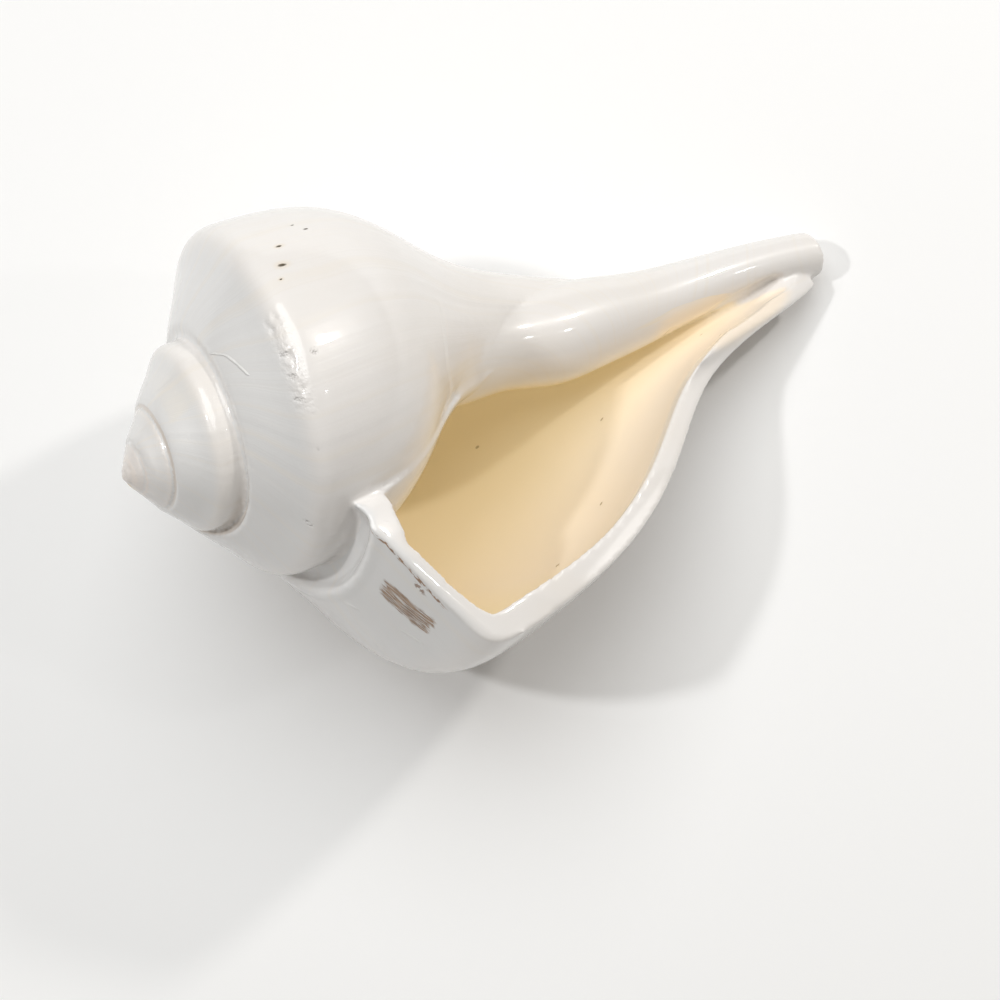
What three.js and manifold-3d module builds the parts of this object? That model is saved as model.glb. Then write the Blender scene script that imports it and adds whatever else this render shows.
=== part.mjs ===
// A left-handed conch: one whorl wound round the axis, growing by the same
// ratio each turn, with a wide mouth and a long open canal at the narrow end.
// It is drawn in its own growth frame (apex at the origin, axis along +Z) and
// then laid on its back, mouth up, the way the finished shell comes to rest.

import * as THREE from 'three';
import { mergeVertices } from 'three/addons/utils/BufferGeometryUtils.js';
import { ConvexHull } from 'three/addons/math/ConvexHull.js';
import Module from 'manifold-3d';

// ---- driving dimensions ----
const SHOULDER = 60;        // mm, radius of the shoulder where the lip is
const GROWTH = 1.9;         // size ratio from one turn to the next
const QUARTERS = 20;        // quarter turns from the lip back to the tip of the spire
const LIP_AT = -27;         // degrees round the axis where the lip's shoulder sits
const HOLLOW_TURNS = 1.75;  // how far the living chamber runs back from the lip
const CANAL_BEND = [8, -13];       // mm, sideways drift of the canal's end
const BEND_FROM = 1.4;      // distance from the apex where the bend begins
const SUTURE_AT = 0.55;     // distance from the apex to the suture, in shares of SHOULDER
const SHOULDER_AT = 0.85;   // the same to the shoulder
const CANAL_END = 2.8;      // the same to the canal's end
const CHAMBER_TOP = 0.67;   // the same to where the chamber's wall begins beside the suture
const SUTURE_LEAD = 0.4;    // radians that the lip stands ahead of its shoulder at the suture
const CANAL_LAG = 0.15;     // radians that it falls behind at the canal's end
const SHOULDER_SWELL = [0.07, -0.03];    // extra shoulder, outward and along, at the lip
const WALL = 0.085;         // wall of the lip
const BACK = [0.2, 0.84, 0.5];     // the side it lies on, in the growth frame

// Outside of one whorl: [distance from the apex, distance from the axis]. Distances here
// and below are shares of SHOULDER, from the suture over the shoulder to the canal.
const SIDE = [[SUTURE_AT, 0.52], [0.6, 0.65], [0.75, 0.87], [SHOULDER_AT, 1.0], [1.0, 1.02],
  [1.4, 0.97], [1.75, 0.78], [2.0, 0.55], [2.2, 0.4], [2.5, 0.26], [CANAL_END, 0.14]];
// Axis side of the chamber, from the canal back to the suture.
const CHAMBER_BACK = [[2.66, 0.05], [2.45, 0.06], [2.15, 0.09], [1.80, 0.12], [1.50, 0.15],
  [1.30, 0.18], [1.18, 0.225], [1.08, 0.29], [0.99, 0.365], [0.90, 0.437], [0.78, 0.505],
  [0.66, 0.545]];
// The pillar: [distance from the apex, sideways offset of its middle, radius]. It
// begins as the rounded first whorl at the apex and ends as the canal's blunt end.
const PILLAR = [[0.005, 0, 0.012], [0.03, 0, 0.034], [0.07, 0, 0.04], [0.14, 0, 0.03], [0.6, 0, 0.07],
  [1.0, 0, 0.12], [1.3, 0, 0.18], [1.5, 0.02, 0.17], [1.7, 0.05, 0.18], [1.9, 0.05, 0.17],
  [2.1, 0.05, 0.14], [2.4, 0.02, 0.105], [CANAL_END, 0, 0.09]];
// The canal's open groove: [distance from the apex, sideways offset, half its width].
const GROOVE = [[2.15, 0.2, 0.05], [2.3, 0.18, 0.055], [2.4, 0.15, 0.055], [2.5, 0.12, 0.05],
  [2.6, 0.08, 0.03], [2.65, 0.07, 0.01]];
const GROOVE_FLOOR = 0.035; // how far past the axis the groove is cut

const wasm = await Module();
wasm.setup();

const RATE = Math.log(GROWTH) / (2 * Math.PI);
const sizeAt = (turn) => Math.exp(RATE * turn);

// A smooth line through [a, b, c] stations, sampled at n + 1 points.
function smooth(stations, n) {
  const line = new THREE.CatmullRomCurve3(
    stations.map(([a, b, c = 0]) => new THREE.Vector3(a, b, c)), false, 'centripetal');
  return Array.from({ length: n + 1 }, (_, i) => line.getPoint(i / n));
}

// How far the lip stands ahead of its shoulder: it sweeps forward to the suture, runs
// nearly straight down the side and falls back a little at the canal's end.
function lean(along) {
  const before = Math.max(0, (SHOULDER_AT - along) / (SHOULDER_AT - SUTURE_AT));
  const down = Math.max(0, (along - SHOULDER_AT) / (CANAL_END - SHOULDER_AT));
  return SUTURE_LEAD * before ** 1.5 + down ** 3 * (1 - CANAL_LAG - down);
}

// A point of the section, grown to the angle `turn` (0 at the lip, negative before).
function grow(along, out, turn, swell = 1) {
  const near = swell * Math.exp(-(((along - 0.85) / 0.42) ** 2) - (turn / 1.1) ** 2);
  const r = sizeAt(turn) * (out + SHOULDER_SWELL[0] * near);
  const z = sizeAt(turn) * (along + SHOULDER_SWELL[1] * near);
  const round = THREE.MathUtils.degToRad(LIP_AT) - turn;
  return bent(r * Math.cos(round), r * Math.sin(round), z);
}

// The canal's end drifts sideways.
function bent(x, y, z) {
  const pull = Math.max(0, (z - BEND_FROM) / (CANAL_END - BEND_FROM)) ** 2;
  return [SHOULDER * x + CANAL_BEND[0] * pull, SHOULDER * y + CANAL_BEND[1] * pull, SHOULDER * z];
}

// A closed solid from rings of points: the rings are joined and both ends filled.
function solidFromRings(rings) {
  const count = rings[0].length;
  const faces = [];
  for (let i = 0; i + 1 < rings.length; i++) {
    for (let j = 0; j < count; j++) {
      const a = i * count + j;
      const b = i * count + (j + 1) % count;
      faces.push(a, b, b + count, a, b + count, a + count);
    }
  }
  const lastBase = (rings.length - 1) * count;
  for (const [a, b, c] of fillRing(rings[0])) faces.push(a, c, b);
  for (const [a, b, c] of fillRing(rings[rings.length - 1])) {
    faces.push(lastBase + a, lastBase + b, lastBase + c);
  }
  return toSolid(rings.flat(2), faces);
}

function fillRing(ring) {
  const points = ring.map((p) => new THREE.Vector3(...p));
  const middle = points.reduce((s, p) => s.add(p), new THREE.Vector3()).divideScalar(ring.length);
  points.forEach((p) => p.sub(middle));
  const normal = new THREE.Vector3();
  points.forEach((p, j) => normal.add(p.clone().cross(points[(j + 1) % points.length])));
  normal.normalize();
  const across = points[0].clone().projectOnPlane(normal).normalize();
  const up = normal.clone().cross(across);
  return THREE.ShapeUtils.triangulateShape(
    points.map((p) => new THREE.Vector2(p.dot(across), p.dot(up))), []);
}

function toSolid(positions, faces) {
  const make = (list) => new wasm.Manifold(new wasm.Mesh({ numProp: 3,
    vertProperties: new Float32Array(positions), triVerts: new Uint32Array(list) }));
  const solid = make(faces);
  return solid.volume() > 0 ? solid : make(faces.slice().reverse());
}

// ---- the growth as if it were solid, a quarter turn at a time ----
function wholeGrowth() {
  const outside = smooth(SIDE, 22).map((p) => new THREE.Vector3(p.x, p.y, lean(p.x)));
  const first = outside[0];
  const last = outside[outside.length - 1];
  const section = [...outside, new THREE.Vector3(last.x, 0.02, 0),
    new THREE.Vector3(1.2, 0.02, 0), new THREE.Vector3(first.x, 0.02, 0)];
  let body = null;
  let ring = null;
  for (let q = 0; q < QUARTERS; q++) {
    const steps = q < 5 ? 8 : q < 9 ? 6 : 5;
    const rings = ring ? [ring] : [];
    for (let s = ring ? 1 : 0; s <= steps; s++) {
      const turn = -(q + s / steps) * Math.PI / 2;
      rings.push(section.map((p) => grow(p.x, p.y, turn + p.z)));
    }
    ring = rings[rings.length - 1];
    const wedge = solidFromRings(rings);
    body = body ? body.add(wedge) : wedge;
  }
  return body;
}

// A rod along the axis, a little deeper than it is wide.
function rod(stations, steps, sides, deep, shift) {
  return solidFromRings(smooth(stations, steps).map((p) => Array.from({ length: sides }, (_, k) => {
    const a = 2 * Math.PI * k / sides;
    return bent(p.y + p.z * Math.cos(a), shift(p) + deep(p) * Math.sin(a), p.x);
  })));
}
const pillar = () => rod(PILLAR, 26, 16, (p) => p.z * 1.15, (p) => p.z * 0.15);
const groove = () => rod(GROOVE, 12, 14, () => 0.2, () => GROOVE_FLOOR - 0.2);

// ---- the living chamber, cut out of the growth ----
function chamber() {
  const side = smooth(SIDE, 26);
  const front = [];
  for (let i = 1; side[i].x < 2.62; i++) {
    const along = new THREE.Vector2(side[i + 1].x - side[i - 1].x, side[i + 1].y - side[i - 1].y)
      .normalize();
    const wall = WALL * (side[i].x < 0.75 ? 1.15 : side[i].x > 1.8 ? 0.85 : 1);
    front.push([side[i].x + along.y * wall, side[i].y - along.x * wall]);
  }
  const outline = [...front.filter(([a, b]) => a > CHAMBER_TOP && b > 0.12).map((p) => [...p, 1]),
    ...smooth(CHAMBER_BACK, 16).map((p) => [p.x, p.y, 0])];
  const rings = [];
  for (let turn = 0.9; turn > -HOLLOW_TURNS * 2 * Math.PI; turn -= turn > -5 ? 0.2 : 0.28) {
    rings.push(outline.map(([a, b, swell]) => grow(a, b, turn, swell)));
  }
  return solidFromRings(rings);
}

// ---- the shell, without any closed pocket between the parts ----
const solid = wholeGrowth().subtract(chamber()).add(pillar()).subtract(groove())
  .simplify(0.02).decompose().sort((a, b) => b.volume() - a.volume())[0];
const mesh = solid.getMesh();
const drawn = new THREE.BufferGeometry();
drawn.setAttribute('position', new THREE.BufferAttribute(new Float32Array(mesh.vertProperties), 3));
drawn.setIndex(Array.from(mesh.triVerts));
const geometry = mergeVertices(drawn, 0.0005);

// The middle of the shell's mass, from its triangles.
function massMiddle(geo) {
  const at = geo.attributes.position;
  const corner = (i) => new THREE.Vector3().fromBufferAttribute(at, geo.index.getX(i));
  const sum = new THREE.Vector3();
  let volume = 0;
  for (let i = 0; i < geo.index.count; i += 3) {
    const [a, b, c] = [corner(i), corner(i + 1), corner(i + 2)];
    const part = a.dot(b.clone().cross(c)) / 6;
    volume += part;
    sum.addScaledVector(a.add(b).add(c), part / 4);
  }
  return sum.divideScalar(volume);
}

// It lies on the flat of its outer hull that is nearest BACK and under its mass.
function layDown(geo) {
  const at = geo.attributes.position;
  const points = Array.from({ length: at.count }, (_, i) => new THREE.Vector3().fromBufferAttribute(at, i));
  const middle = massMiddle(geo);
  const back = new THREE.Vector3(...BACK).normalize();
  let best = null;
  for (const face of new ConvexHull().setFromPoints(points).faces) {
    const foot = middle.clone().addScaledVector(face.normal, face.constant - face.normal.dot(middle));
    let edge = face.edge;
    let inside = true;
    do {
      const along = edge.head().point.clone().sub(edge.tail().point);
      const side = along.cross(foot.clone().sub(edge.tail().point)).dot(face.normal);
      if (side < 0) inside = false;
      edge = edge.next;
    } while (edge !== face.edge);
    const match = face.normal.dot(back);
    if (inside && (!best || match > best.match)) best = { match, normal: face.normal.clone() };
  }
  const turn = new THREE.Quaternion().setFromUnitVectors(best.normal, new THREE.Vector3(0, 0, -1));
  geo.applyQuaternion(turn);
  const canal = new THREE.Vector3(0, 0, 1).applyQuaternion(turn);
  geo.rotateZ(-Math.atan2(canal.y, canal.x));
  geo.computeBoundingBox();
  const { min, max } = geo.boundingBox;
  geo.translate(-(min.x + max.x) / 2, -(min.y + max.y) / 2, -min.z);
}
layDown(geometry);

const shell = new THREE.Mesh(geometry, new THREE.MeshStandardMaterial({
  color: 0xf1ece8, roughness: 0.25, metalness: 0 }));
shell.name = 'shell';

const conch = new THREE.Group();
conch.add(shell);
export default conch;
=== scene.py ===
"""A polished left-handed conch lying on its back, mouth up, on a pale floor."""
import math
import bpy
import numpy as np
from mathutils import Matrix, Vector


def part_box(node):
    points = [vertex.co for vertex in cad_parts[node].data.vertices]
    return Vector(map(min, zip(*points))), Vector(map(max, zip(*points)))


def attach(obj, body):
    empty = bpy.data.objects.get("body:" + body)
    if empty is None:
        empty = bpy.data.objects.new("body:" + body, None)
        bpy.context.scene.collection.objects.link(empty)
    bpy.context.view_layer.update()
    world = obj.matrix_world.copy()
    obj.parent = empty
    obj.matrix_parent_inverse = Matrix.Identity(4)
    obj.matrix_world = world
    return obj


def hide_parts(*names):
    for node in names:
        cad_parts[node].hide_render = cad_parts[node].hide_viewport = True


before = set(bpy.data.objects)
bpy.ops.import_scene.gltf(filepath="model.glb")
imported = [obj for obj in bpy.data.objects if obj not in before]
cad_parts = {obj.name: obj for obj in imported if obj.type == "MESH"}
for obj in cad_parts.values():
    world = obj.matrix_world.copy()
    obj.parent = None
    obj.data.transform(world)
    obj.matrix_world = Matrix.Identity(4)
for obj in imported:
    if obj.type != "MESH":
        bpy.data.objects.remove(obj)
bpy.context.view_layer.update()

# ---- the shell's own measures, as on the CAD part ----
SHOULDER = 0.060                  # metres, radius of the shoulder at the lip
GROWTH = 1.9                      # size ratio from one turn to the next
TURNS = 5.0
LIP_AT = math.radians(-27)        # where the lip's shoulder sits round the axis
HOLLOW_TURNS = 1.75
CANAL_BEND = (0.008 / SHOULDER, -0.013 / SHOULDER)   # sideways drift of the canal's end, in shoulders
BEND_FROM = 1.4
SUTURE_AT, SHOULDER_AT, CANAL_END = 0.55, 0.85, 2.8  # along the axis from the apex, in shoulders
CHAMBER_TOP = 0.67                # where the chamber's wall begins beside the suture
SUTURE_LEAD = 0.4                 # radians the lip stands ahead of its shoulder at the suture
CANAL_LAG = 0.15                  # radians it falls behind at the canal's end
SWELL = (0.07, -0.03)             # extra shoulder at the lip, outward and along
# The side it lies on, in the growth frame: round the axis, and along it.
LIES_ROUND, LIES_ALONG = math.radians(78.7), math.radians(28.8)
UNDERSIDE = Vector((math.cos(LIES_ALONG) * math.cos(LIES_ROUND),
                    math.cos(LIES_ALONG) * math.sin(LIES_ROUND), math.sin(LIES_ALONG)))

# Outside of one whorl: distance from the apex and from the axis.
SIDE = [(SUTURE_AT, 0.52), (0.6, 0.65), (0.75, 0.87), (SHOULDER_AT, 1.0), (1.0, 1.02), (1.4, 0.97),
        (1.75, 0.78), (2.0, 0.55), (2.2, 0.4), (2.5, 0.26), (CANAL_END, 0.14)]
# Wall thickness at the same places.
WALL = [0.060, 0.060, 0.062, 0.085, 0.098, 0.088, 0.08, 0.075, 0.072, 0.07, 0.06]
# Axis side of the chamber, from the canal back to the suture.
CHAMBER_BACK = [(2.66, 0.05), (2.45, 0.06), (2.15, 0.09), (1.80, 0.12), (1.50, 0.15),
                (1.30, 0.18), (1.18, 0.225), (1.08, 0.29), (0.99, 0.365), (0.90, 0.437),
                (0.78, 0.505), (0.66, 0.545)]
# Pillar: from the apex, sideways offset of its middle, radius.
PILLAR = [(0.005, 0, 0.012), (0.03, 0, 0.034), (0.07, 0, 0.04), (0.14, 0, 0.03), (0.6, 0, 0.07),
          (1.0, 0, 0.12), (1.3, 0, 0.18), (1.5, 0.02, 0.17), (1.7, 0.05, 0.18), (1.9, 0.05, 0.17),
          (2.1, 0.05, 0.14), (2.4, 0.02, 0.105), (CANAL_END, 0, 0.09)]
# Canal groove: from the apex, sideways offset, half its width.
GROOVE = [(2.15, 0.2, 0.05), (2.3, 0.18, 0.055), (2.4, 0.15, 0.055), (2.5, 0.12, 0.05),
          (2.6, 0.08, 0.03), (2.65, 0.07, 0.01)]
GROOVE_FLOOR = 0.035

# Where a whorl meets the one before it: on the spire it laps up over the old shoulder,
# on the last turn it leaves an open channel with a low cord beside it.
LAP = (0.10, 0.015)               # along and outward
CHANNEL_DEEP, CHANNEL_EDGE, CORD = 0.062, 0.605, 0.009
SEAM = 0.56                       # where the spire's suture shows on the newer whorl
# Web between the pillar and the sheet at the canal's end: from the apex, offset, radius.
WEB = [(2.40, 0.14, 0.02), (2.50, 0.12, 0.045), (2.62, 0.095, 0.06), (2.72, 0.07, 0.06),
       (2.79, 0.055, 0.05)]

# The camera: tilt from straight down, the way it leans, the way the picture's top points (degrees
# round from +X), its distance, and the point it looks at from the middle of the shell's box.
CAMERA_TILT, LOOKS_TOWARD, PICTURE_UP, CAMERA_AWAY = math.radians(9), 99, 63, 0.435
AIM = Vector((-0.013, -0.024, 0.0))

GRAIN = 0.0005                    # metres, fineness of the working surface
MOST_TRIANGLES = 190000


# ---- small helpers ----
class Wire:
    """One socket of a node tree, usable in ordinary sums."""
    def __init__(self, nodes, socket):
        self.nodes, self.socket = nodes, socket

    def math(self, operation, *others):
        return self.nodes.node("ShaderNodeMath", {"operation": operation}, self, *others)

    def after(self, operation, other):
        return self.nodes.node("ShaderNodeMath", {"operation": operation}, other, self)

    def __add__(self, other): return self.math("ADD", other)
    def __sub__(self, other): return self.math("SUBTRACT", other)
    def __mul__(self, other): return self.math("MULTIPLY", other)
    def __truediv__(self, other): return self.math("DIVIDE", other)
    def __pow__(self, other): return self.math("POWER", other)
    def __neg__(self): return self * -1
    def __radd__(self, other): return self + other
    def __rmul__(self, other): return self * other
    def __rsub__(self, other): return self.after("SUBTRACT", other)
    def __rtruediv__(self, other): return self.after("DIVIDE", other)
    def size(self): return self.math("ABSOLUTE")
    def out(self, name): return Wire(self.nodes, self.socket.node.outputs[name])

    def between(self, low, high):
        """Rises smoothly from 0 at low to 1 at high, whichever of them is larger."""
        smooth = {"interpolation_type": "SMOOTHSTEP"}
        return self.nodes.node("ShaderNodeMapRange", smooth, self, low, high, 0.0, 1.0)


class Nodes:
    """Builds a node tree one node at a time."""
    def __init__(self, tree):
        self.tree = tree

    def node(self, kind, settings=None, *inputs, **named):
        made = self.tree.nodes.new(kind)
        for key, value in (settings or {}).items():
            setattr(made, key, value)
        free = [s for s in made.inputs if s.enabled]
        for socket, value in list(zip(free, inputs)) + [(self.find(made, k), v) for k, v in named.items()]:
            if value is None:
                continue
            if isinstance(value, Wire):
                self.tree.links.new(value.socket, socket)
            else:
                socket.default_value = value
        outputs = [s for s in made.outputs if s.enabled]
        return Wire(self, outputs[0]) if outputs else None

    @staticmethod
    def find(made, key):
        name = key.replace("_", " ").lower()
        return next(s for s in made.inputs if s.enabled and s.name.lower() == name)


def even_line(stations, n):
    """A curve of even bend through the stations, sampled at n + 1 points."""
    p = np.array(stations, float)
    t = np.concatenate([[0], np.cumsum(np.linalg.norm(np.diff(p[:, :2], axis=0), axis=1) ** 0.5)])
    h = np.diff(t)
    m = len(t)
    a = np.zeros((m, m))
    b = np.zeros(p.shape)
    a[0, :3] = h[1], -(h[0] + h[1]), h[0]
    a[-1, -3:] = h[-1], -(h[-2] + h[-1]), h[-2]
    for i in range(1, m - 1):
        a[i, i - 1:i + 2] = h[i - 1], 2 * (h[i - 1] + h[i]), h[i]
        b[i] = 6 * ((p[i + 1] - p[i]) / h[i] - (p[i] - p[i - 1]) / h[i - 1])
    bend = np.linalg.solve(a, b)
    x = np.linspace(0, t[-1], n + 1)
    i = np.clip(np.searchsorted(t, x, side="right") - 1, 0, m - 2)
    u, w, g = (x - t[i])[:, None], (t[i + 1] - x)[:, None], h[i][:, None]
    return (bend[i] * w ** 3 + bend[i + 1] * u ** 3) / (6 * g) \
        + (p[i] / g - bend[i] * g / 6) * w + (p[i + 1] / g - bend[i + 1] * g / 6) * u


def link(name, mesh):
    piece = bpy.data.objects.new(name, mesh)
    bpy.context.scene.collection.objects.link(piece)
    return piece


def settle(piece):
    """Bakes a piece's modifiers into a plain mesh."""
    bpy.context.view_layer.update()
    seen = piece.evaluated_get(bpy.context.evaluated_depsgraph_get())
    mesh = bpy.data.meshes.new_from_object(seen)
    old = piece.data
    piece.modifiers.clear()
    piece.data = mesh
    bpy.data.meshes.remove(old)
    return piece


def modify(piece, kind, **settings):
    modifier = piece.modifiers.new(kind.title(), kind)
    for key, value in settings.items():
        setattr(modifier, key, value)
    return modifier


def combine(piece, other, operation):
    modify(piece, "BOOLEAN", operation=operation, solver="MANIFOLD", object=other)
    settle(piece)
    bpy.data.objects.remove(other)


def apply_rule(piece, rule, **inputs):
    modifier = modify(piece, "NODES", node_group=rule)
    for item in rule.interface.items_tree:
        if item.in_out == "INPUT" and item.name in inputs:
            modifier[item.identifier] = inputs[item.name]
    return settle(piece)


# ---- the growth rule ----
def growth_rule():
    tree = bpy.data.node_groups.new("growth rule", "GeometryNodeTree")
    face = tree.interface
    face.new_socket("Section", in_out="INPUT", socket_type="NodeSocketGeometry")
    inputs = {"Steps": ("NodeSocketInt", 480), "Turn from": ("NodeSocketFloat", 0.0),
              "Turn to": ("NodeSocketFloat", -TURNS * 2 * math.pi),
              "Growth ratio": ("NodeSocketFloat", GROWTH), "Lip at": ("NodeSocketFloat", LIP_AT),
              "Swell out": ("NodeSocketFloat", SWELL[0]), "Swell along": ("NodeSocketFloat", SWELL[1]),
              "Lap along": ("NodeSocketFloat", LAP[0]), "Lap out": ("NodeSocketFloat", LAP[1]),
              "Channel": ("NodeSocketFloat", CHANNEL_DEEP), "Cord": ("NodeSocketFloat", CORD),
              "Shoulder": ("NodeSocketFloat", SHOULDER), "Filled": ("NodeSocketBool", True)}
    for name, (kind, value) in inputs.items():
        face.new_socket(name, in_out="INPUT", socket_type=kind).default_value = value
    face.new_socket("Material", in_out="INPUT", socket_type="NodeSocketMaterial")
    face.new_socket("Shell", in_out="OUTPUT", socket_type="NodeSocketGeometry")
    nodes = Nodes(tree)
    given = tree.nodes.new("NodeGroupInput")
    get = lambda name: Wire(nodes, given.outputs[name])

    def named(name):
        return nodes.node("GeometryNodeInputNamedAttribute", {"data_type": "FLOAT"}, name)

    section = nodes.node("GeometryNodeMeshToCurve", {}, get("Section"))
    line = nodes.node("GeometryNodeCurvePrimitiveLine", {}, (0, 0, 0), (0, 0, 1))
    path = nodes.node("GeometryNodeResampleCurve", {"mode": "COUNT"}, Curve=line, Count=get("Steps"))
    share = nodes.node("GeometryNodeSplineParameter")
    turn = get("Turn from") + (get("Turn to") - get("Turn from")) * share
    path = nodes.node("GeometryNodeStoreNamedAttribute", {"data_type": "FLOAT", "domain": "POINT"},
                      Geometry=path, Name="turn", Value=turn)
    swept = nodes.node("GeometryNodeCurveToMesh", {},
                       Curve=path, Profile_Curve=section, Fill_Caps=get("Filled"))

    turn = named("turn") + named("lead")
    swept = nodes.node("GeometryNodeStoreNamedAttribute", {"data_type": "FLOAT", "domain": "POINT"},
                       Geometry=swept, Name="turn", Value=turn)
    turn = named("turn")
    size = nodes.node("ShaderNodeMath", {"operation": "POWER"}, get("Growth ratio"), turn / (2 * math.pi))
    along, out = named("along"), named("out")
    old = (-turn).between(math.radians(350), math.radians(450))
    lap = along.between(0.84, 0.52) * old * named("swell")
    facing = (turn + math.radians(40)).math("COSINE").between(-0.4, 0.8)
    channel = out.between(CHANNEL_EDGE, CHANNEL_EDGE - 0.05) * along.between(0.7, 0.65) * (1 - old)
    channel = channel * (-turn).between(math.radians(-27), math.radians(-14)) * (0.35 + 0.65 * facing)
    cord = (-((out - CHANNEL_EDGE - 0.012) / 0.016) ** 2.0).math("EXPONENT") * along.between(0.7, 0.65)
    cord = cord * (-turn).between(math.radians(-27), math.radians(-18)) * (0.2 + 0.8 * facing)
    recess = (channel * get("Channel") - cord * get("Cord")) * named("swell")
    near = named("swell") * (-(((along - 0.85) / 0.42) ** 2.0) - (turn / 1.1) ** 2.0).math("EXPONENT")
    radius = size * (out + get("Swell out") * near - get("Lap out") * lap)
    height = size * (along + get("Swell along") * near - get("Lap along") * lap + recess)
    round_ = get("Lip at") - turn
    pull = ((height - BEND_FROM) / (CANAL_END - BEND_FROM)).math("MAXIMUM", 0.0) ** 2.0
    x = radius * round_.math("COSINE") + pull * CANAL_BEND[0]
    y = radius * round_.math("SINE") + pull * CANAL_BEND[1]
    scale = get("Shoulder")
    place = nodes.node("ShaderNodeCombineXYZ", {}, x * scale, y * scale, height * scale)
    grown = nodes.node("GeometryNodeSetPosition", {}, Geometry=swept, Position=place)
    grown = nodes.node("GeometryNodeRealizeInstances", {}, Geometry=grown)
    grown = nodes.node("GeometryNodeSetMaterial", {}, Geometry=grown, Material=get("Material"))
    done = tree.nodes.new("NodeGroupOutput")
    tree.links.new(grown.socket, done.inputs["Shell"])
    return tree


def grow(name, section, closed, **inputs):
    """Sweeps a section of (along, out, lead, swell) points by the growth rule."""
    count = len(section)
    edges = [(i, i + 1) for i in range(count - 1)] + ([(count - 1, 0)] if closed else [])
    mesh = bpy.data.meshes.new(name)
    mesh.from_pydata([(p[0], p[1], 0) for p in section], edges, [])
    for k, attribute in enumerate(("along", "out", "lead", "swell")):
        mesh.attributes.new(attribute, "FLOAT", "POINT").data.foreach_set(
            "value", np.array([p[k] for p in section], np.float32))
    return apply_rule(link(name, mesh), RULE, **inputs)


def outline(n):
    """The side as (along, out, lead of the lip, wall)."""
    along, out, wall = even_line([s + (w,) for s, w in zip(SIDE, WALL)], n).T
    before = np.maximum(0, (SHOULDER_AT - along) / (SHOULDER_AT - SUTURE_AT))
    down = np.maximum(0, (along - SHOULDER_AT) / (CANAL_END - SHOULDER_AT))
    lead = SUTURE_LEAD * before ** 1.5 + down ** 3 * (1 - CANAL_LAG - down)
    return np.column_stack([along, out, lead, wall])


def rod(name, stations, steps, sides, deep, shift):
    rings = []
    for along, offset, radius in even_line(stations, steps):
        pull = max(0.0, (along - BEND_FROM) / (CANAL_END - BEND_FROM)) ** 2
        for k in range(sides):
            a = 2 * math.pi * k / sides
            x = offset + radius * math.cos(a) + pull * CANAL_BEND[0]
            y = shift(radius) + deep(radius) * math.sin(a) + pull * CANAL_BEND[1]
            rings.append(SHOULDER * np.array((x, y, along)))
    faces = []
    for i in range(0, steps * sides, sides):
        for k in range(sides):
            following = (k + 1) % sides
            faces.append((i + k, i + following, i + sides + following, i + sides + k))
    faces += [tuple(range(sides))[::-1], tuple(steps * sides + k for k in range(sides))]
    mesh = bpy.data.meshes.new(name)
    mesh.from_pydata([tuple(p) for p in rings], [], faces)
    return face_out(link(name, mesh))


def face_out(piece):
    import bmesh
    work = bmesh.new()
    work.from_mesh(piece.data)
    bmesh.ops.recalc_face_normals(work, faces=work.faces)
    work.to_mesh(piece.data)
    work.free()
    return piece


# ---- the finish ----
def material(name):
    made = bpy.data.materials.new(name)
    made.use_nodes = True
    made.node_tree.nodes.clear()
    return made, Nodes(made.node_tree)


# Places on the shell: degrees back from the lip, and distance along from the apex in shoulders
# at that turn. Sizes are in degrees too: one is about 1 mm at the lip.
PITS = [(255, 1.0, 1.5), (247, 1.05, 1.0), (260, 0.95, 0.6)] \
    + [(238 + 4 * i, 1.2 + 0.05 * i, 0.8) for i in range(2)]
SCRATCHES = [((275, 0.58), (280, 0.62)), ((280, 0.62), (290, 0.66)),
             ((38, 0.6), (34, 0.62)), ((22, 0.7), (18, 0.75))]
CHIPS = [(285, 0.95, 1.8), (345, 0.8, 1.4)] + [(283 + 7.5 * i, 0.81, 1.4) for i in range(3)]
SPECK_GAP, SPECK_SHARE, SPECK_SEED = 12.0, 0.16, 3.0   # degrees apart, share that shows, and which ones
ALONG = 57.3                      # chart units in one shoulder along


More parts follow.
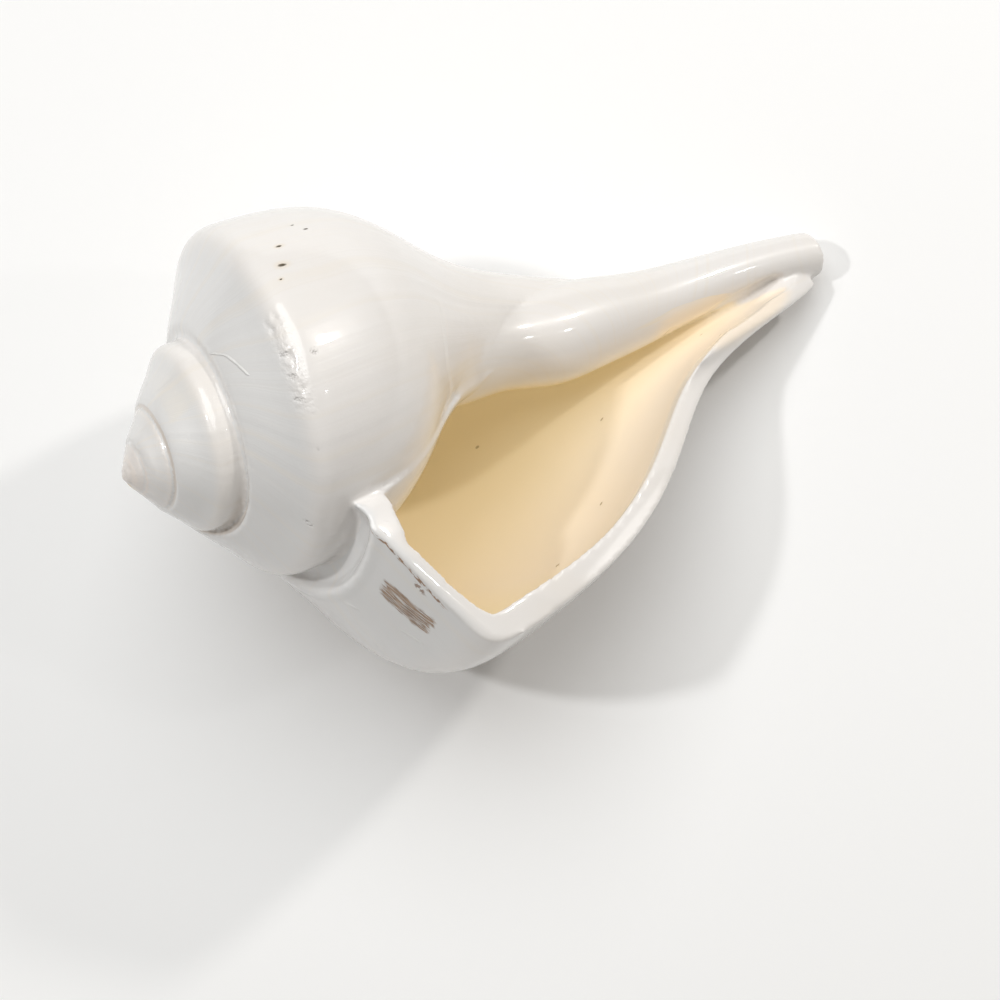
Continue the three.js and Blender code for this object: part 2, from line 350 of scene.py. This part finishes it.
def shell_finish():
    made, n = material("shell")
    place = n.node("ShaderNodeTexCoord").out("Object")
    read = lambda name: n.node("ShaderNodeAttribute", {"attribute_name": name}).out("Fac")
    back = read("turn") * (-180 / math.pi)
    along, lining, groove, outside = read("along"), read("lining"), read("groove"), read("outside")
    chart = n.node("ShaderNodeCombineXYZ", {}, back, along * ALONG, 0.0)

    def vector(operation, *inputs, **named):
        return n.node("ShaderNodeVectorMath", {"operation": operation}, *inputs, **named)

    def noise(where, scale, detail=2.0, roughness=0.5):
        return n.node("ShaderNodeTexNoise", {}, Vector=where, Scale=scale, Detail=detail, Roughness=roughness)

    def streaks(x, y):
        return n.node("ShaderNodeTexNoise", {}, Vector=n.node("ShaderNodeCombineXYZ", {}, x, y, 0.0),
                      Scale=1.0, Detail=3.0)

    def spot(turn, at, size, stretch=1.0):
        centre = (turn, at * ALONG, 0)
        off = vector("SUBTRACT", chart, centre)
        return vector("LENGTH", vector("MULTIPLY", off, (stretch, 1, 1))) / size

    def stroke(a, b):
        a, b = Vector((a[0], a[1] * ALONG, 0)), Vector((b[0], b[1] * ALONG, 0))
        run = b - a
        off = vector("SUBTRACT", chart, tuple(a))
        share = vector("DOT_PRODUCT", off, tuple(run)).out("Value") / run.length_squared
        share = share.math("MAXIMUM", 0.0)
        share = share.math("MINIMUM", 1.0)
        beside = vector("SUBTRACT", off, vector("SCALE", tuple(run), Scale=share))
        return vector("LENGTH", beside).out("Value")

    def most(values):
        total = values[0]
        for other in values[1:]:
            total = total.math("MAXIMUM", other)
        return total

    def tint(amount, under, over):
        return n.node("ShaderNodeMix", {"data_type": "RGBA"}, amount, under, over)

    cloud, fleck = noise(place, 38.0, 3.0), noise(place, 1400.0, 2.0)
    fine = noise(place, 420.0, 3.0)
    ragged = (fine - 0.5) * 1.6
    round_only = {"noise_dimensions": "1D"}
    lines = n.node("ShaderNodeTexNoise", round_only, W=back * 1.1 + cloud * 2.0, Scale=1.0, Detail=3.0)
    bands = n.node("ShaderNodeTexNoise", round_only, W=back * 0.16 + cloud * 1.2, Scale=1.0, Detail=2.0)

    # Outside: white, greyer on the ramp, creamier in bands and toward the apex.
    ramp = along.between(0.84, 0.76) * outside
    colour = tint(cloud.between(0.3, 0.7), (0.80, 0.765, 0.73, 1), (0.81, 0.785, 0.765, 1))
    colour = tint(ramp * 0.8, colour, (0.745, 0.745, 0.745, 1))
    colour = tint(bands.between(0.5, 0.75) * 0.35, colour, (0.80, 0.745, 0.67, 1))
    colour = tint(lines.between(0.55, 0.8) * 0.06, colour, (0.66, 0.61, 0.56, 1))
    colour = tint(back.between(800.0, 1500.0) * 0.45, colour, (0.80, 0.70, 0.63, 1))

    # Lining: pale pinkish cream by the lip, gold deeper in and toward the shoulder; partly the lining's own
    # colour, partly painted shade, as it darkens and turns more golden where the chamber lies deep and
    # shaded.
    deep = (back + (cloud - 0.5) * 14.0).between(14.0, 78.0)
    high = along.between(1.55, 1.05)
    inner = tint(most([deep, high]), (0.92, 0.81, 0.68, 1), (0.88, 0.745, 0.51, 1))
    inner = tint(back.between(90.0, 260.0), inner, (0.83, 0.645, 0.365, 1))
    inner = tint(cloud.between(0.45, 0.75) * 0.3, inner, (0.92, 0.79, 0.62, 1))
    inside = lining * (back + ragged * 0.8).between(1.0, 3.4)
    yellow_end = along.between(2.71, 2.60)
    colour = tint(most([inside, groove * yellow_end]), colour, inner)

    # Brown stain scoured across the ramp behind the lip, and a broken line along the lip's corner.
    middle = 13.0 - (along - 0.68) * 40
    u, v = (along - 0.68) / 0.06, (back - middle) / 3.5
    rough_edge = (noise(chart, 0.8, 3.0) - 0.5) * 0.55
    patch = (u.size() + rough_edge).between(1.05, 0.85) * (v.size() + rough_edge).between(1.08, 0.8)
    patch = patch * outside
    scour = streaks(u * 1.3, v * 7.0)
    stain = patch * scour.between(0.33, 0.55)
    wander = (noise(chart, 0.45, 3.0) - 0.5) * 1.6
    corner = (back - 1.5 + wander).size().between(0.55, 0.2)
    corner = corner * along.between(0.56, 0.59) * along.between(0.75, 0.72)
    corner = corner * noise(chart, 1.3, 2.0).between(0.40, 0.55) * (outside * 4.0).math("MINIMUM", 1.0)
    blot = (spot(3.5, 0.68, 1.2).out("Value") + ragged).between(1.0, 0.6) * fleck.between(0.42, 0.55)
    brown = tint(fine.between(0.3, 0.7), (0.36, 0.19, 0.085, 1), (0.17, 0.078, 0.03, 1))
    colour = tint(most([stain, corner * 0.9, blot * 0.8 * outside]), colour, brown)
    colour = tint(patch * 0.25, colour, (0.58, 0.50, 0.42, 1))

    # Worm pits on the back of the body whorl, chips on the keel, specks on the lining.
    def marks(places, stretch=1.0):
        return most([(spot(*p, stretch).out("Value") + ragged * 0.8).between(1.0, 0.35) for p in places])

    pits, chips = marks(PITS, 2.2) * outside, marks(CHIPS) * outside
    halo = [spot(turn, at, size * 2.6, 1.6).out("Value").between(1.0, 0.2) for turn, at, size in PITS[:3]]
    halo = most(halo) * outside
    speck_at = vector("ADD", chart, (SPECK_SEED * 100, 0, 0))
    cells = n.node("ShaderNodeTexVoronoi", {"voronoi_dimensions": "2D"}, Vector=speck_at, Scale=1 / SPECK_GAP)
    chance = n.node("ShaderNodeSeparateColor", {}, cells.out("Color")).out("Red")
    shown = chance.between(SPECK_SHARE, SPECK_SHARE - 0.01)
    specks = (cells.out("Distance") * SPECK_GAP + ragged * 0.3).between(0.6, 0.25) * shown * lining
    colour = tint(halo * 0.35, colour, (0.74, 0.60, 0.40, 1))
    colour = tint(pits, colour, (0.10, 0.075, 0.04, 1))
    seam = (along - SEAM - 0.003).size().between(0.012, 0.003) * outside
    seam = seam * back.between(340.0, 380.0) * back.between(800.0, 700.0)
    colour = tint(seam * (0.25 + 0.5 * fine), colour, (0.55, 0.44, 0.34, 1))
    colour = tint(chips * fleck.between(0.5, 0.7) * 0.18, colour, (0.50, 0.47, 0.42, 1))
    colour = tint(specks * 0.75, colour, (0.33, 0.22, 0.08, 1))
    scratch = most([stroke(*s).between(0.45, 0.1) for s in SCRATCHES]) * outside
    colour = tint(scratch * 0.6, colour, (0.9, 0.9, 0.88, 1))

    worn = (along - 0.83).size().between(0.07, 0.02) * back.between(266.0, 275.0)
    worn = worn * back.between(306.0, 298.0) * outside
    rise = (lines - 0.5) * 0.00002 + worn * (noise(place, 700.0) - 0.5) * 0.00035 \
        + (fine - 0.5) * 0.000012 + (fleck - 0.5) * 0.000006
    rise = rise * (0.35 + 0.65 * outside) - pits * 0.0005 - chips * fleck.between(0.35, 0.65) * 0.00025 \
        - stain * 0.00012 + scratch * 0.00015 - specks * 0.0001
    normal = n.node("ShaderNodeBump", {}, Strength=1.0, Distance=1.0, Height=rise)
    dull = most([stain, corner, pits, specks])
    # Painted glow: the lining emits a faint warm light, stronger deeper in, standing in for daylight that
    # comes through the thin wall and warms the chamber from inside.
    painted_glow = tint(inside * (0.25 + 0.75 * most([deep, high])), (0, 0, 0, 1), (0.080, 0.074, 0.042, 1))
    bsdf = n.node("ShaderNodeBsdfPrincipled", {}, Base_Color=colour,
                  Emission_Color=painted_glow, Emission_Strength=1.0,
                  Roughness=0.30 + 0.12 * fine + 0.10 * lining + 0.25 * dull,
                  Coat_Weight=0.8 - 0.45 * lining - 0.5 * dull, Coat_Roughness=0.07,
                  Normal=normal)
    n.node("ShaderNodeOutputMaterial", {}, Surface=bsdf)
    made.cycles.emission_sampling = "NONE"   # too faint to be worth aiming light rays at
    return made


RULE = growth_rule()


def wear_rule():
    """Reads turn and along off the swept side, then raises the lines, waves and ridges of growth."""
    tree = bpy.data.node_groups.new("growth marks", "GeometryNodeTree")
    face = tree.interface
    face.new_socket("Shell", in_out="INPUT", socket_type="NodeSocketGeometry")
    for name in ("Side", "Lining", "Groove", "Pillar"):
        face.new_socket(name, in_out="INPUT", socket_type="NodeSocketObject")
    heights = {"Growth line height": 0.000018, "Growth step height": 0.00012, "Wave height": 0.00030,
               "Spiral line height": 0.000015, "Seam at": SEAM, "Seam depth": 0.00028,
               "Callus edge height": 0.00022, "Keel chip depth": 0.0005}
    for name, value in heights.items():
        face.new_socket(name, in_out="INPUT", socket_type="NodeSocketFloat").default_value = value
    face.new_socket("Seed", in_out="INPUT", socket_type="NodeSocketFloat").default_value = 4.0
    face.new_socket("Material", in_out="INPUT", socket_type="NodeSocketMaterial")
    face.new_socket("Shell", in_out="OUTPUT", socket_type="NodeSocketGeometry")
    nodes = Nodes(tree)
    given = tree.nodes.new("NodeGroupInput")
    get = lambda name: Wire(nodes, given.outputs[name])
    shape = lambda name: nodes.node("GeometryNodeObjectInfo", {}, get(name)).out("Geometry")

    def read(name):
        value = nodes.node("GeometryNodeInputNamedAttribute", {"data_type": "FLOAT"}, name)
        return nodes.node("GeometryNodeSampleNearestSurface", {"data_type": "FLOAT"}, shape("Side"), value)

    def near(name, reach):
        away = nodes.node("GeometryNodeProximity", {"target_element": "FACES"}, shape(name)).out("Distance")
        return away.between(reach, reach * 0.3)

    # The pillar runs into the body whorl without a crease.
    meeting = near("Side", 0.0050) * near("Pillar", 0.0050) * read("along").between(2.45, 2.25)
    place = nodes.node("GeometryNodeInputPosition")
    eased = nodes.node("GeometryNodeBlurAttribute", {"data_type": "FLOAT_VECTOR"}, place, 70, meeting)
    start = nodes.node("GeometryNodeSetPosition", {}, Geometry=get("Shell"), Position=eased)

    def keep(shell, name, value):
        return nodes.node("GeometryNodeStoreNamedAttribute", {"data_type": "FLOAT", "domain": "POINT"},
                          Geometry=shell, Name=name, Value=value)

    shell = keep(start, "turn", read("turn") - read("lead"))
    shell = keep(shell, "along", read("along"))
    shell = keep(shell, "outside", near("Side", 0.0022))
    inward = nodes.node("ShaderNodeVectorMath", {"operation": "DOT_PRODUCT"},
                        nodes.node("GeometryNodeInputNormal"), (0.5, 0.87, 0.0)).out("Value")
    covered = (-read("turn")).between(math.radians(361), math.radians(368)) \
        * (-read("turn")).between(math.radians(700), math.radians(640))
    covered = covered * read("along").between(1.15, 1.3) * near("Side", 0.0022)
    pillar = near("Pillar", 0.0012) * inward.between(0.15, 0.65)
    lining = near("Lining", 0.0016).math("MAXIMUM", pillar).math("MAXIMUM", covered)
    shell = keep(shell, "lining", lining)
    shell = keep(shell, "groove", near("Groove", 0.0045) * read("along").between(2.12, 2.22))

    value = lambda name: nodes.node("GeometryNodeInputNamedAttribute", {"data_type": "FLOAT"}, name)
    turn, along = value("turn"), value("along")
    degrees = turn * (180 / math.pi)

    def rough(size, detail=2.0):
        return nodes.node("ShaderNodeTexNoise", {"noise_dimensions": "4D"}, Vector=place, W=get("Seed"),
                          Scale=1 / size, Detail=detail) - 0.5

    def lines(count):
        return nodes.node("ShaderNodeTexNoise", {"noise_dimensions": "1D"}, W=count * turn + get("Seed"),
                          Scale=1.0, Detail=2.0) - 0.5

    spiral = nodes.node("ShaderNodeTexNoise", {"noise_dimensions": "1D"}, W=along * 70.0, Scale=1.0) - 0.5
    callus = 1.92 + 0.12 * (-degrees).between(303.0, 330.0) + rough(0.012) * 0.03
    callus_run = (-degrees).between(268.0, 285.0) * (-degrees).between(338.0, 326.0)
    edge = (along - callus).between(-0.022, 0.0) * callus_run * (along - callus).between(0.6, 0.3)
    keel = (along - 0.815).size().between(0.035, 0.012) * (-degrees).between(266.0, 275.0) \
        * (-degrees).between(306.0, 298.0)
    outside = value("outside")
    seam = (-((along - get("Seam at")) / 0.012) ** 2.0).math("EXPONENT") * (-degrees).between(330.0, 380.0)
    rise = lines(52.0) * get("Growth line height") + lines(13.0) * get("Growth step height") \
        + rough(0.022, 1.0) * get("Wave height") + spiral * get("Spiral line height") \
        + edge * get("Callus edge height") - seam * get("Seam depth") \
        - (rough(0.0035) - 0.02).between(0.0, 0.12) * keel * get("Keel chip depth")
    push = nodes.node("ShaderNodeVectorMath", {"operation": "SCALE"},
                      nodes.node("GeometryNodeInputNormal"), Scale=rise * outside)
    shell = nodes.node("GeometryNodeSetPosition", {}, Geometry=shell, Offset=push)
    shell = nodes.node("GeometryNodeRealizeInstances", {}, Geometry=shell)
    shell = nodes.node("GeometryNodeSetMaterial", {}, Geometry=shell, Material=get("Material"))
    done = tree.nodes.new("NodeGroupOutput")
    tree.links.new(shell.socket, done.inputs["Shell"])
    return tree


side = outline(150)
filled = [(s[0], s[1], s[2], 1.0) for s in side] \
    + [(side[-1][0], 0.02, 0, 0), (1.2, 0.02, 0, 0), (side[0][0], 0.02, 0, 0)]
growth = face_out(grow("growth", filled, True, Steps=600))
modify(growth, "REMESH", mode="VOXEL", voxel_size=GRAIN, use_smooth_shade=True)
settle(growth)

slope = np.gradient(side[:, :2], axis=0)
slope /= np.linalg.norm(slope, axis=1)[:, None]
front = [(s[0] + d[1] * s[3], s[1] - d[0] * s[3], 0.0, 1.0) for s, d in zip(side, slope)]
front = [p for p in front if CHAMBER_TOP < p[0] < 2.62 and p[1] > 0.12]
back = [(a, b, 0.0, 0.0) for a, b in even_line(CHAMBER_BACK, 60)]
chamber = face_out(grow("chamber", front + back, True, Steps=260,
                        **{"Turn from": 0.9, "Turn to": -HOLLOW_TURNS * 2 * math.pi}))
groove = rod("groove", GROOVE, 60, 48, lambda r: 0.2, lambda r: GROOVE_FLOOR - 0.2 - 1.3 * max(0, 0.057 - r))
trough = link("trough", groove.data.copy())
lining = grow("lining", front, False, Steps=260, Filled=False, **{
    "Turn from": -math.radians(1), "Turn to": -HOLLOW_TURNS * 2 * math.pi})
pillar = rod("pillar", PILLAR, 120, 64, lambda r: 1.15 * r, lambda r: 0.15 * r)
column = link("column", pillar.data.copy())
sheet = grow("sheet", [(s[0], s[1], s[2], 1.0) for s in side], False, Steps=600, Filled=False)

combine(growth, chamber, "DIFFERENCE")
combine(growth, pillar, "UNION")
combine(growth, rod("web", WEB, 40, 48, lambda r: r, lambda r: 0.05), "UNION")
combine(growth, groove, "DIFFERENCE")
modify(growth, "REMESH", mode="VOXEL", voxel_size=GRAIN, use_smooth_shade=True)
modify(growth, "SMOOTH", factor=0.5, iterations=6)
settle(growth)

shell_look = shell_finish()
MARKS = wear_rule()
apply_rule(growth, MARKS, Side=sheet, Lining=lining, Groove=trough, Pillar=column, Material=shell_look)

# ---- laid down as it rests ----
turn = UNDERSIDE.rotation_difference(Vector((0, 0, -1))).to_matrix()
canal = turn @ Vector((0, 0, 1))
turn = Matrix.Rotation(-math.atan2(canal.y, canal.x), 3, "Z") @ turn
low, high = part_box("shell")


def lay(piece):
    piece.data.transform(turn.to_4x4())
    co = np.empty(len(piece.data.vertices) * 3, np.float32)
    piece.data.vertices.foreach_get("co", co)
    co = co.reshape(-1, 3)
    shift = (low + high) / 2 - Vector((co.min(0) + co.max(0)) / 2)
    shift.z = low.z - co[:, 2].min()
    piece.data.transform(Matrix.Translation(shift))


lay(growth)
growth.name = "conch"
ratio = MOST_TRIANGLES / (2 * len(growth.data.polygons))
if ratio < 1:
    modify(growth, "DECIMATE", ratio=ratio)
    settle(growth)
for extra in (lining, sheet, trough, column):
    bpy.data.objects.remove(extra)
face_out(growth)
growth.data.shade_smooth()
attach(growth, "root")
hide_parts("shell")

# ---- floor, light and camera ----
mesh = bpy.data.meshes.new("floor")
mesh.from_pydata([(-2, -2, 0), (2, -2, 0), (2, 2, 0), (-2, 2, 0)], [], [(0, 1, 2, 3)])
floor = link("floor", mesh)
floor_look, n = material("floor")
n.node("ShaderNodeOutputMaterial", {}, Surface=n.node(
    "ShaderNodeBsdfDiffuse", {}, Color=(0.91, 0.91, 0.91, 1)))
mesh.materials.append(floor_look)

camera = bpy.data.cameras.new("camera")
camera.lens = 75.0
camera.sensor_width = 36.0
view = bpy.data.objects.new("camera", camera)
bpy.context.scene.collection.objects.link(view)
def heading(degrees):
    return Vector((math.cos(math.radians(degrees)), math.sin(math.radians(degrees)), 0))


look = heading(LOOKS_TOWARD) * math.sin(CAMERA_TILT) - Vector((0, 0, math.cos(CAMERA_TILT)))
right = look.cross(heading(PICTURE_UP)).normalized()
view.matrix_world = Matrix.Translation((low + high) / 2 + AIM - look * CAMERA_AWAY) \
    @ Matrix((right, right.cross(look), -look)).transposed().to_4x4()
bpy.context.scene.camera = view


def lamp(name, direction, away, size, brightness, colour=(1, 1, 1)):
    """A round lamp aimed at the shell; brightness is what a white card facing it there would show."""
    light = bpy.data.lights.new(name, "AREA")
    light.shape, light.size, light.color = "DISK", size, colour
    light.energy = brightness * (math.pi * away) ** 2
    made = bpy.data.objects.new(name, light)
    bpy.context.scene.collection.objects.link(made)
    aim = Vector(direction).normalized()
    made.location = aim * away + Vector((0, 0, 0.045))
    made.rotation_euler = aim.to_track_quat("Z", "Y").to_euler()


lamp("softbox", (0.14, 0.36, 0.92), 1.5, 1.3, 0.60, (0.97, 0.99, 1.0))
lamp("canal side lamp", (0.80, 0.17, 0.57), 0.9, 0.07, 0.27, (1.0, 0.97, 0.93))
lamp("spire side lamp", (-0.46, 0.24, 0.86), 0.9, 0.06, 0.25)
lamp("front lamp", (0.71, -0.34, 0.62), 0.9, 0.05, 0.04)
world = bpy.data.worlds.new("studio")
bpy.context.scene.world = world
world.use_nodes = True
world.node_tree.nodes["Background"].inputs["Color"].default_value = (1.0, 0.94, 0.85, 1)
world.node_tree.nodes["Background"].inputs["Strength"].default_value = 0.22
bpy.context.scene.view_settings.view_transform = "Standard"
